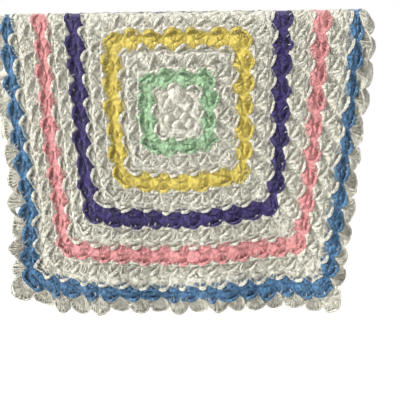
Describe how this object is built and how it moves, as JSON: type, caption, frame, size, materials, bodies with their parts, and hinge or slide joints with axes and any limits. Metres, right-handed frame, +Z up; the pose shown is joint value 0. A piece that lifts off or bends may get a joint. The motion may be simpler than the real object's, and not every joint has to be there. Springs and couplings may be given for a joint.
{
  "type": "crochet blanket",
  "caption": "Square crochet blanket of diamond shells in coloured rounds with a scalloped edging, hung over a rail with a short flap behind.",
  "frame": {"origin": "middle of the fold, on its underside, where the rail that holds the blanket bears", "axes": "+X runs along the rail to the right of someone who faces the long front panel, the front panel hangs on the -Y side, +Z is up"},
  "size_m": [0.8695, 0.0641, 0.6954],
  "materials": {
    "white_yarn": "soft matt acrylic yarn, warm white",
    "mint_yarn": "soft matt acrylic yarn, mint green",
    "yellow_yarn": "soft matt acrylic yarn, yellow",
    "purple_yarn": "soft matt acrylic yarn, deep purple",
    "pink_yarn": "soft matt acrylic yarn, pink",
    "blue_yarn": "soft matt acrylic yarn, mid blue"
  },
  "bodies": {
    "root": {"crochet_blanket": "white_yarn"}
  },
  "joints": []
}
